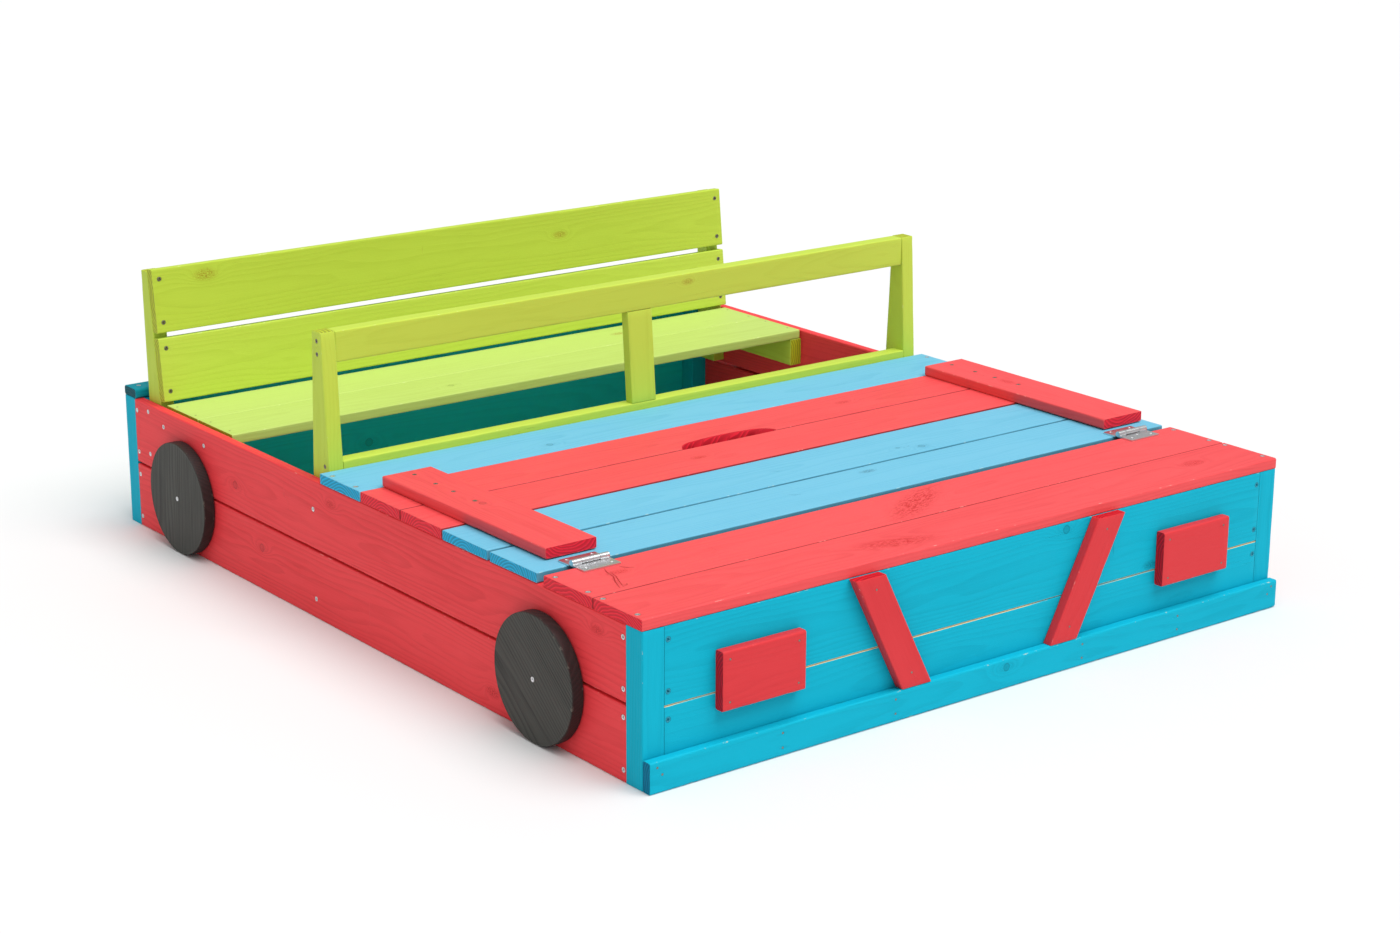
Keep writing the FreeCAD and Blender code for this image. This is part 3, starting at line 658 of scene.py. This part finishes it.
# The seat's copy of the green paint, whiter and a little darker than the uprights' copy: a painted sheen on
# the lit tops.
SEAT_GREEN_SHEEN = painted_wood(
    "green_paint_seat_sheen", (0.51, 0.66, 0.160, 1), (0.37, 0.49, 0.070, 1), rgb(225, 235, 170),
    rgb(150, 160, 30), figure=0.22)
WHEEL = painted_wood(
    "wheel_stain", (0.058, 0.058, 0.050, 1), (0.014, 0.014, 0.013, 1), rgb(125, 120, 108), rgb(36, 26, 26),
    figure=0.85, fibre_strength=0.45, chips=0.35)
ZINC = metal("zinc_plate", (0.78, 0.79, 0.80, 1), (0.50, 0.51, 0.53, 1), 0.16)
DARK = metal("dark_plate", (0.34, 0.32, 0.27, 1), (0.13, 0.12, 0.10, 1), 0.34)
PAINTED_METAL = metal("painted_screw", (0.02, 0.34, 0.46, 1), (0.006, 0.19, 0.27, 1), 0.42, metallic=0.15)


# ---- how each board lies ----

def crack(node, points, width):
    """A cutter for a drying crack in a board's top, from points given along and across it."""
    low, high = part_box(node)
    vertices, faces = [], []
    for n, (along, across) in enumerate(points):
        before, after = points[max(n - 1, 0)], points[min(n + 1, len(points) - 1)]
        run = Vector((after[0] - before[0], after[1] - before[1])).normalized()
        half = width / 2 * (0.25 if n in (0, len(points) - 1) else 1.0)
        x, y = low.x + along, low.y + across
        for side in (-1, 1):
            vertices.append((x - run.y * half * side, y + run.x * half * side, high.z + 0.001))
        vertices.append((x, y, high.z - CRACK_DEPTH))
    for n in range(len(points) - 1):
        a, b = n * 3, n * 3 + 3
        faces += [[a, a + 1, b + 1, b], [a + 1, a + 2, b + 2, b + 1], [a + 2, a, b, b + 2]]
    last = len(points) * 3
    return vertices, faces + [[0, 1, 2], [last - 3, last - 2, last - 1]]


def mapping(order, origin):
    """Local (along, across, through) to the row frame, where order names the axis of each."""
    columns = ["xyz".index(letter) for letter in order]

    def to_world(local):
        world = np.zeros_like(local)
        for n, column in enumerate(columns):
            world[:, column] = origin[column] + local[:, n]
        return world
    return to_world


def straight(width, thickness):
    """The outline of a board that is the same all along."""
    def outline(a):
        flat = np.zeros_like(a)
        return flat, flat + width, flat, flat + thickness
    return outline


BODY_OF = {node: body for body, members in frame["record"]["behaviour"]["bodies"].items() for node in members}


def finish_piece(piece, node, material):
    """Paint, body, and the CAD node that the piece stands for, which is hidden."""
    piece.data.materials.clear()
    piece.data.materials.append(material)
    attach(piece, BODY_OF[node])
    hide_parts(node)


# settings shared by boards that are alike
# The seam settings give painted shade along the joints between boards.
BLUE_SLAT = {"end_fine": 0.0020, "pith": (0.004, -0.028), "seam_shade": (0.5, 0.5)}
RED_SLAT = {"end_fine": 0.0020, "pith": (-0.008, -0.034), "seam_shade": (0.8, 0.8)}
BATTEN = {"end_fine": 0.0024, "pith": (0.0, 0.040)}

# node: order of directions, paint, edge radius, knots as (along, across, radii, kind), other settings
# Kind 0 is a ringed knot and 1 a mottled one.  Radii are one number, or a knot's radius along the board,
# its radius across it, and how far it leans along the board.
# The seam settings among the other settings give painted shade along the joints between boards.
PLANKS = {
    "left_wall_board_lower": ("yzx", RED_SIDE, 0.002, [
        (0.953, 0.069, 0.006, 0), (0.31, 0.030, 0.006, 1)], {}),
    "left_wall_board_upper": ("yzx", RED_SIDE, 0.002, [
        (0.063, 0.082, 0.005, 1), (0.738, 0.082, 0.005, 1), (1.031, 0.041, 0.006, 0)], {}),
    "right_wall_board_lower": ("yzx", RED_SIDE, 0.002, [
        (0.52, 0.040, 0.007, 0), (1.12, 0.070, 0.006, 1)], {}),
    "right_wall_board_upper": ("yzx", RED_SIDE, 0.002, [
        (0.24, 0.050, 0.006, 1), (0.92, 0.035, 0.007, 0)], {}),
    "front_wall_board_lower": ("xzy", BLUE_WALL, 0.0012, [
        (0.27, 0.030, 0.006, 1)], {"bare_side": 1, "end_seam_shade": 0.8}),
    "front_wall_board_upper": ("xzy", BLUE_WALL, 0.0012, [
        (0.719, 0.098, 0.006, 0), (0.897, 0.009, 0.005, 1)], {"bare_side": -1, "end_seam_shade": 0.8}),
    "rear_wall_board_lower": ("xzy", BLUE_INSIDE_BOUNCE, 0.001, [(0.42, 0.060, 0.007, 0)], {}),
    "rear_wall_board_upper": ("xzy", BLUE_INSIDE_BOUNCE, 0.001, [(0.81, 0.050, 0.006, 1)], {}),
    "deck_board_front": ("xyz", RED_TOP_SHEEN, 0.002, [
        (0.468, 0.041, (0.016, 0.016, -1.6), 1), (1.078, 0.058, 0.008, 1)],
        {"end_fine": 0.0024, "seam_shade": (0.0, 0.9)}),
    "deck_board_rear": ("xyz", RED_TOP_SHEEN, 0.002, [
        (0.086, 0.062, 0.006, 1), (0.609, 0.054, (0.014, 0.034, 1.3), 1)],
        {"end_fine": 0.0024, "seam_shade": (0.9, 0.5)}),
    "dashboard_board": ("xyz", BLUE_TOP_SHEEN, 0.002, [(0.36, 0.035, 0.005, 0)], {"end_fine": 0.0024}),
    "rear_wall_cap": ("xyz", TEAL, 0.004, [], {}),
    "bumper_board": ("xzy", BLUE_WALL, 0.003, [(0.629, 0.032, 0.0055, 0)], {}),
    "headlight_left": ("xzy", RED_TRIM, 0.003, [], {}),
    "headlight_right": ("xzy", RED_TRIM, 0.003, [], {}),
    "windshield_top_rail": ("xzy", GREEN, 0.002, [(0.655, 0.034, 0.004, 1)], {}),
    "windshield_sill": ("xzy", GREEN, 0.002, [(0.31, 0.030, 0.004, 0)], {}),
    "seat_cleat_left": ("yzx", GREEN, 0.002, [], {}),
    "seat_cleat_right": ("yzx", GREEN, 0.002, [], {}),
    "seat_board_front": ("xyz", SEAT_GREEN_SHEEN, 0.002, [(0.44, 0.050, 0.005, 0)], {}),
    "seat_board_rear": ("xyz", SEAT_GREEN_SHEEN, 0.002, [(0.88, 0.060, 0.006, 1)], {}),
    "lid_slat_front_blue": ("xyz", BLUE_TOP_SHEEN, 0.002, [(0.66, 0.090, 0.005, 1)], BLUE_SLAT),
    "lid_slat_rear_blue": ("xyz", BLUE_TOP_SHEEN, 0.002, [
        (0.816, 0.024, 0.0055, 0), (0.779, 0.038, 0.003, 0)], BLUE_SLAT),
    "lid_slat_front_red": ("xyz", RED_TOP_SHEEN, 0.002, [(0.50, 0.060, 0.005, 1)], RED_SLAT),
    "lid_slat_rear_red": ("xyz", RED_TOP_SHEEN, 0.002, [(0.88, 0.060, 0.005, 1)], RED_SLAT),
    "lid_batten_left": ("yxz", RED_TOP_SHEEN, 0.002, [(0.22, 0.045, 0.005, 0)], BATTEN),
    "lid_batten_right": ("yxz", RED_TOP_SHEEN, 0.002, [(0.26, 0.040, 0.006, 1)], BATTEN),
}

# node: its cracks, each as points along and across the board, and a width
CRACKS = {
    "deck_board_rear": [
        ([(0.080, 0.085), (0.074, 0.070), (0.071, 0.052), (0.060, 0.032), (0.050, 0.008)], 0.0016),
        ([(0.079, 0.070), (0.074, 0.050), (0.065, 0.030), (0.057, 0.010)], 0.0014),
        ([(0.057, 0.011), (0.066, 0.014), (0.069, 0.020)], 0.0012),
        ([(0.101, 0.080), (0.108, 0.071), (0.116, 0.065)], 0.0016)],
    "lid_slat_rear_blue": [([(0.545, 0.060), (0.552, 0.052), (0.561, 0.050)], 0.0011)],
    "lid_slat_front_blue": [([(0.490, 0.070), (0.497, 0.062), (0.507, 0.061)], 0.0011)],
}


def make_plank(node, order, paint, radius, knots, settings, seed):
    """A straight board with its screw holes, cracks and, on one slat, the hand notch."""
    low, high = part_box(node)
    size = high - low
    length, width, thickness = (size["xyz".index(letter)] for letter in order)
    piece = board(f"{node}_wood", length, straight(width, thickness), radius, seed,
                  mapping(order, low), knots, **settings)
    cutters = holes_for(node)
    if node == "lid_slat_rear_red":
        cutters.append(notch_cutter())
    cut(piece, cutters)
    for points, wide in CRACKS.get(node, []):
        cut(piece, [crack(node, points, wide)])
    finish_piece(piece, node, paint)


def arc(start, middle, end, count):
    """Points along the circle through three points."""
    (ax, ay), (bx, by), (cx, cy) = start, middle, end
    d = 2 * (ax * (by - cy) + bx * (cy - ay) + cx * (ay - by))
    a2, b2, c2 = ax ** 2 + ay ** 2, bx ** 2 + by ** 2, cx ** 2 + cy ** 2
    ux = (a2 * (by - cy) + b2 * (cy - ay) + c2 * (ay - by)) / d
    uy = (a2 * (cx - bx) + b2 * (ax - cx) + c2 * (bx - ax)) / d
    radius = math.hypot(ax - ux, ay - uy)
    first, last = math.atan2(ay - uy, ax - ux), math.atan2(cy - uy, cx - ux)
    via = math.atan2(by - uy, bx - ux)
    turn = (last - first) % (2 * math.pi)
    if (via - first) % (2 * math.pi) > turn:
        turn -= 2 * math.pi
    angles = [first + turn * n / count for n in range(count + 1)]
    return [(ux + radius * math.cos(angle), uy + radius * math.sin(angle)) for angle in angles]


def notch_cutter():
    """The hand notch, with its rim eased at the top and the bottom of the slat."""
    low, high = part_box("lid_slat_rear_red")
    shoulder = NOTCH_HALF * 0.62
    left = [(-NOTCH_HALF, 0.0), (-NOTCH_HALF * 0.88, NOTCH_DEPTH * 0.52), (-shoulder, NOTCH_DEPTH * 0.86)]
    right = [(-x, y) for x, y in reversed(left)]
    curve = arc(*left, 8)[:-1] + arc(left[-1], (0.0, NOTCH_DEPTH), right[0], 24)[:-1] + arc(*right, 8)
    eased = [(low.z - 0.002, 0.0022), (low.z + 0.0004, 0.0013), (low.z + 0.0016, 0.0003),
             (high.z - 0.0018, 0.0003), (high.z - 0.0005, 0.0013), (high.z + 0.002, 0.0022)]
    vertices, faces = [], []
    for z, grow in eased:
        for x, y in curve:
            vertices.append((x * (1 + grow / NOTCH_HALF), low.y + y * (1 + grow / NOTCH_DEPTH), z))
        vertices.append((NOTCH_HALF + 0.003, low.y - 0.006, z))
        vertices.append((-NOTCH_HALF - 0.003, low.y - 0.006, z))
    count = len(curve) + 2
    for level in range(len(eased) - 1):
        for n in range(count):
            after = (n + 1) % count
            faces.append([level * count + n, level * count + after,
                          (level + 1) * count + after, (level + 1) * count + n])
    faces.append(list(range(count)))
    faces.append(list(range((len(eased) - 1) * count, len(eased) * count)))
    return vertices, faces


def tapered(node, order, paint, radius, outline_for, seed):
    """A piece whose outline changes along it."""
    low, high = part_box(node)
    size = high - low
    length = size["xyz".index(order[0])]
    origin = Vector((0.0, 0.0, 0.0))
    origin["xyz".index(order[0])] = low["xyz".index(order[0])]
    piece = board(f"{node}_wood", length, outline_for(low, high), radius, seed, mapping(order, origin))
    cut(piece, holes_for(node))
    finish_piece(piece, node, paint)


def windshield_post(low, high):
    """Leans back above the deck, and narrows above the box."""
    def outline(a):
        z = low.z + a
        lean = np.clip((z - DECK_TOP) / (high.z - DECK_TOP), 0, 1)
        narrow = np.clip((z - BOX_TOP) / (high.z - BOX_TOP), 0, 1)
        front = low.y + WINDSHIELD_LEAN * lean
        rear = high.y + (low.y + WINDSHIELD_LEAN + POST_TOP_WIDTH - high.y) * narrow
        return front, rear, a * 0 + low.x, a * 0 + high.x
    return outline


def middle_post(low, high):
    """Leans back by as much as the windshield, and keeps its thickness."""
    shift = WINDSHIELD_LEAN
    thick = (high.y - low.y) - shift

    def outline(a):
        share = np.clip(a / (high.z - low.z), 0, 1)
        return a * 0 + low.x, a * 0 + high.x, low.y + shift * share, low.y + shift * share + thick
    return outline


def upright(low, high):
    """A backrest upright, whose front leans back more than its rear."""
    def outline(a):
        share = np.clip(a / (high.z - low.z), 0, 1)
        front = low.y + UPRIGHT_FRONT_SHIFT * share
        rear = high.y - UPRIGHT_REAR_SHIFT * (1 - share)
        return front, rear, a * 0 + low.x, a * 0 + high.x
    return outline


def grille(low, high):
    """A bar of the front whose top leans outward."""
    width = 2 * GRILLE_HALF
    run = (high.x - low.x) - width
    leans_left = low.x < 0

    def outline(a):
        share = np.clip(a / (high.z - low.z), 0, 1)
        left = low.x + run * ((1 - share) if leans_left else share)
        return left, left + width, a * 0 + low.y, a * 0 + high.y
    return outline


def back_board(node, paint, seed, knots):
    """A backrest board leaning back with the uprights."""
    low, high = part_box(node)
    foot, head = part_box("backrest_upright_left")
    angle = math.atan(UPRIGHT_FRONT_SHIFT / (head.z - foot.z))
    centre = (low + high) / 2
    turn = Matrix.Rotation(-angle, 3, "X")

    def to_world(local):
        shifted = local[:, [0, 2, 1]] - ((high.x - low.x) / 2, BOARD / 2, BACK_BOARD / 2)
        return shifted @ np.array(turn).T + np.array(centre)

    piece = board(f"{node}_wood", high.x - low.x, straight(BACK_BOARD, BOARD), 0.002, seed, to_world, knots)
    cut(piece, holes_for(node))
    finish_piece(piece, node, paint)


def box_mesh(low, high):
    """A cutter in the shape of a box."""
    corners = [(x, y, z) for x in (low[0], high[0]) for y in (low[1], high[1]) for z in (low[2], high[2])]
    return corners, [[0, 1, 3, 2], [4, 6, 7, 5], [0, 4, 5, 1], [2, 3, 7, 6], [0, 2, 6, 4], [1, 5, 7, 3]]


def corner_post(node, seed):
    """A square post with the rebates that the wall boards lie in."""
    low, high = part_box(node)
    size = high - low
    piece = board(f"{node}_wood", size.z, straight(size.x, size.y), 0.002, seed, mapping("zxy", low),
                  spacing=0.008)
    out_x = low.x if low.x < 0 else high.x
    out_y = low.y if low.y < 0 else high.y
    into_x, into_y = (1 if low.x < 0 else -1), (1 if low.y < 0 else -1)
    far = 0.010

    def rebate(x0, x1, y0, y1):
        (xa, xb), (ya, yb) = sorted((x0, x1)), sorted((y0, y1))
        return box_mesh((xa, ya, low.z - far), (xb, yb, high.z + far))

    side = rebate(out_x - into_x * far, out_x + into_x * BOARD,
                  out_y + into_y * POST_FACE, out_y + into_y * (size.y + far))
    end = rebate(out_x + into_x * POST_FACE, out_x + into_x * (size.x + far),
                 out_y - into_y * far, out_y + into_y * BOARD)
    cut(piece, [side])
    cut(piece, [end])
    finish_piece(piece, node, BLUE_WALL)


def wheel(node, angle, seed):
    """A turned disc with a countersunk bore, raised grain at an angle and a worn rim."""
    low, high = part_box(node)
    sign = -1 if low.x < 0 else 1
    radius = (high.z - low.z) / 2
    thick = high.x - low.x
    centre = Vector((0, (low.y + high.y) / 2, (low.z + high.z) / 2))
    inner = low.x if sign > 0 else high.x
    bore, sink, ease = 0.00215, 0.0045, 0.0018
    turns = [math.radians(t) for t in (22, 45, 68, 90)]
    # radius, distance along the axle, and 1 on the outer face or -1 on the inner one
    profile = [(bore, 0.0, 0.0), (bore, thick * 0.5, 0.0), (bore, thick - 0.0026, 0.0),
               (sink - 0.0002, thick - 0.0004, 0.0)]
    profile += [(r, thick, 1.0) for r in np.linspace(sink + 0.0002, radius - ease, 34)]
    profile += [(radius - ease + ease * math.sin(t), thick - ease + ease * math.cos(t), 0.0) for t in turns]
    profile += [(radius, thick - ease - (thick - 2 * ease) * f, 0.0) for f in (0.2, 0.4, 0.6, 0.8, 1.0)]
    profile += [(radius - ease + ease * math.cos(t), ease - ease * math.sin(t), 0.0) for t in turns[:-1]]
    profile += [(r, 0.0, -1.0) for r in (radius - ease, radius * 0.7, radius * 0.4, sink)]
    points = len(profile) * WHEEL_SEGMENTS
    ring_r = np.array([p[0] for p in profile])[:, None]
    ring_h = np.array([p[1] for p in profile])[:, None]
    face = np.array([p[2] for p in profile])[:, None]
    theta = np.linspace(0, 2 * math.pi, WHEEL_SEGMENTS, endpoint=False)[None, :]
    y, z = ring_r * np.cos(theta), ring_r * np.sin(theta)
    grain_a = y * math.cos(angle) + z * math.sin(angle)
    grain_b = -y * math.sin(angle) + z * math.cos(angle)
    h = ring_h + 0 * theta
    raised = 0.00020 * noise(grain_a / 0.09, grain_b / 0.011, seed)
    raised = raised + 0.00030 * noise(grain_a / 0.16, grain_b / 0.024, seed + 1)
    h = h - face * raised
    rim_wear = 0.00045 * noise(theta * 22 / math.pi + 0 * ring_r, h / 0.006, seed + 2) ** 2
    shrink = np.where((face == 0) & (ring_r > radius * 0.9), rim_wear, 0)
    y, z = y * (1 - shrink / ring_r), z * (1 - shrink / ring_r)
    world = np.stack([inner + sign * h, centre.y + y, centre.z + z], -1).reshape(-1, 3)
    order = np.arange(points).reshape(len(profile), WHEEL_SEGMENTS)
    loop = np.concatenate([order, order[:1]], 0)
    loop = np.concatenate([loop, loop[:, :1]], 1)
    piece = new_piece(f"{node}_wood", world, grid(loop).tolist(), smooth_angle=50.0)
    grain = np.stack([grain_a + 3.1 * seed, grain_b + 0.05, h + 0.024], -1).reshape(-1, 3)
    store(piece, "grain", "FLOAT_VECTOR", grain)
    store(piece, "knot", "FLOAT_VECTOR", np.tile(NO_KNOT, (points, 1)))
    from_middle = abs(ring_h - thick / 2)
    edge = np.where((ring_r > radius - ease * 1.05) & (from_middle > thick / 2 - ease * 1.1), 1.0, 0.0)
    side = np.where((ring_r > radius - 0.0002) & (from_middle < thick / 2 - ease * 0.6), 0.9, 0.0)
    store(piece, "edge", "FLOAT", (edge + 0 * theta).ravel())
    store(piece, "end", "FLOAT", (side + 0 * theta).ravel())
    store(piece, "tone", "FLOAT", np.full(points, 0.5))
    finish_piece(piece, node, WHEEL)


def screws_of(group, finish, seed):
    """All screws of a CAD group as one piece, each with its own turn of the recess."""
    draw = random.Random(seed)
    vertices, faces = [], []
    for head, axis, radius, length in FASTENERS[group]:
        if group == "brads":
            made = brad(head, axis, radius, length)
        else:
            made = screw(head, axis, radius, length, draw.uniform(0, math.pi))
        start = len(vertices)
        vertices += made[0]
        faces += [[start + n for n in face] for face in made[1]]
    piece = new_piece(f"{group}_steel", vertices, faces, smooth_angle=32.0)
    finish_piece(piece, group, {"zinc": ZINC, "dark": DARK, "painted": PAINTED_METAL}[finish])


# ---- building ----

for number, (node, spec) in enumerate(PLANKS.items()):
    make_plank(node, *spec, seed=number + 3)
for number, side in enumerate(("left", "right")):
    tapered(f"windshield_post_{side}", "zyx", GREEN, 0.0015, windshield_post, 41 + number)
    tapered(f"backrest_upright_{side}", "zyx", GREEN, 0.0015, upright, 45 + number)
    tapered(f"grille_bar_{side}", "zxy", RED_TRIM, 0.0022, grille, 49 + number)
    corner_post(f"corner_post_front_{side}", 53 + number)
    corner_post(f"corner_post_rear_{side}", 57 + number)
    wheel(f"wheel_front_{side}", math.radians(38 if side == "left" else 71), 61 + number)
    wheel(f"wheel_rear_{side}", math.radians(97 if side == "left" else 20), 65 + number)
tapered("windshield_middle_post", "zxy", GREEN, 0.0015, middle_post, 70)
back_board("backrest_board_lower", GREEN, 71, [(0.39, 0.050, 0.006, 1)])
back_board("backrest_board_upper", BACK_GREEN_SHADED, 72, [(0.095, 0.085, 0.007, 1), (0.801, 0.064, 0.005, 1)])
for number, (group, finish) in enumerate(SCREW_GROUPS.items()):
    screws_of(group, finish, 100 + number)
screws_of("brads", "dark", 120)

for node in ("hinge_deck_leaf_left", "hinge_deck_leaf_right", "hinge_lid_leaf_left", "hinge_lid_leaf_right",
             "hinge_pins", "slat_screws"):
    shown = frame["nodes"][node]
    shown.data.materials.clear()
    shown.data.materials.append(ZINC)


# ---- camera, floor and light ----

CAMERA_PLACE = Vector((-2.5459, -3.3289, 1.4134))
CAMERA_YAW, CAMERA_PITCH, CAMERA_ROLL = 0.66112, -0.29074, 0.00499
LENS = 70.618


def make_camera():
    """The camera of the main view."""
    yaw, pitch, roll = CAMERA_YAW, CAMERA_PITCH, CAMERA_ROLL
    forward = Vector((math.sin(yaw) * math.cos(pitch), math.cos(yaw) * math.cos(pitch), math.sin(pitch)))
    right = Vector((math.cos(yaw), -math.sin(yaw), 0.0))
    up = right.cross(forward)
    across = right * math.cos(roll) + up * math.sin(roll)
    upward = up * math.cos(roll) - right * math.sin(roll)
    data = bpy.data.cameras.new("camera")
    data.lens, data.sensor_width = LENS, 36.0
    data.clip_start, data.clip_end = 0.05, 200.0
    camera = bpy.data.objects.new("camera", data)
    rotation = Matrix((across, upward, -forward)).transposed().to_4x4()
    camera.matrix_world = Matrix.Translation(CAMERA_PLACE) @ rotation
    bpy.context.scene.collection.objects.link(camera)
    bpy.context.scene.camera = camera


def make_floor():
    """A plain pale floor."""
    half = 40.0
    corners = [(-half, -half, 0), (half, -half, 0), (half, half, 0), (-half, half, 0)]
    piece = new_piece("floor", corners, [[0, 1, 2, 3]])
    g = Graph("studio_floor")
    place = g.node("ShaderNodeTexCoord").outputs["Object"]
    cloud = g.noise(place, 0.7, 2.0)
    g.put(g.shader.inputs["Base Color"], g.mix(cloud, (0.80, 0.80, 0.80, 1), (0.77, 0.77, 0.77, 1)))
    g.shader.inputs["Roughness"].default_value = 0.9
    piece.data.materials.append(g.material)


def make_light():
    """A key light from high at the front right, a weak one from lower at the front left, and a pale sky."""
    world = bpy.data.worlds.new("studio")
    bpy.context.scene.world = world
    world.use_nodes = True
    background = world.node_tree.nodes["Background"]
    background.inputs["Color"].default_value = (1.0, 1.0, 1.0, 1.0)
    background.inputs["Strength"].default_value = 0.45
    lamps = ("key", 2.7, 50.0, (22, 0, 25)), ("fill", 0.35, 60.0, (55, 0, -38))
    for name, strength, softness, turn in lamps:
        data = bpy.data.lights.new(name, "SUN")
        data.energy, data.angle = strength, math.radians(softness)
        lamp = bpy.data.objects.new(name, data)
        lamp.rotation_euler = [math.radians(angle) for angle in turn]
        bpy.context.scene.collection.objects.link(lamp)
    view = bpy.context.scene.view_settings
    view.view_transform = "Standard"
    view.look = "None"


make_camera()
make_floor()
make_light()
